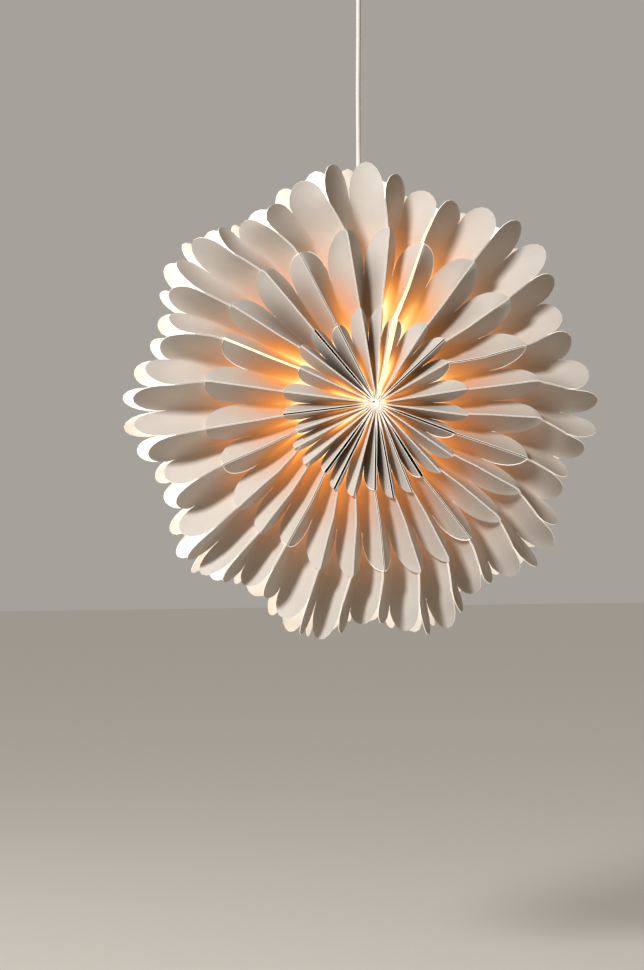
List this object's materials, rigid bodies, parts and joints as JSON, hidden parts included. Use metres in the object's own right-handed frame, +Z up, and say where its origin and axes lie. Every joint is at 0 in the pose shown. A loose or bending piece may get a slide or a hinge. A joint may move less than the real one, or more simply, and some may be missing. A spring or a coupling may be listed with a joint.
{
  "type": "hanging paper star lantern",
  "caption": "Folded paper star lantern with rows of gusseted petals round a bulb, hanging on a cord from a round ceiling cup.",
  "frame": {"origin": "on the ceiling, where the line of the cord meets it", "axes": "+Z up along the cord, -Y towards the front of the star, +X to the right of the star seen from the front"},
  "size_m": [0.593, 0.1304, 0.8907],
  "materials": {
    "card": "matte",
    "clip": "matte",
    "holder": "satin",
    "insert": "satin",
    "plate": "satin",
    "bulb_glass": "frosted",
    "cord": "satin",
    "steel": "satin",
    "cup": "satin"
  },
  "bodies": {
    "root": {"pocket_01": "card", "pocket_02": "card", "pocket_03": "card", "pocket_04": "card", "pocket_05": "card", "pocket_06": "card", "pocket_07": "card", "pocket_08": "card", "pocket_09": "card", "pocket_10": "card", "pocket_11": "card", "pocket_12": "card", "pocket_13": "card", "pocket_14": "card", "pocket_15": "card", "pocket_16": "card", "pocket_17": "card", "pocket_18": "card", "pocket_19": "card", "pocket_20": "card", "pocket_21": "card", "pocket_22": "card", "pocket_23": "card", "pocket_24": "card", "pocket_25": "card", "pocket_26": "card", "pocket_27": "card", "front_collar": "card", "back_collar": "card", "front_rosette": "card", "back_rosette": "card", "front_clip": "clip", "back_clip": "clip", "support_plate": "plate", "shade_ring": "holder", "holder_body": "holder", "holder_insert": "insert", "holder_cap": "holder", "bulb": "bulb_glass", "cord": "cord", "ceiling_strap": "steel", "lock_nut": "steel", "nipple_tube": "steel", "ceiling_cup": "cup", "cord_grip": "cup"}
  },
  "joints": []
}
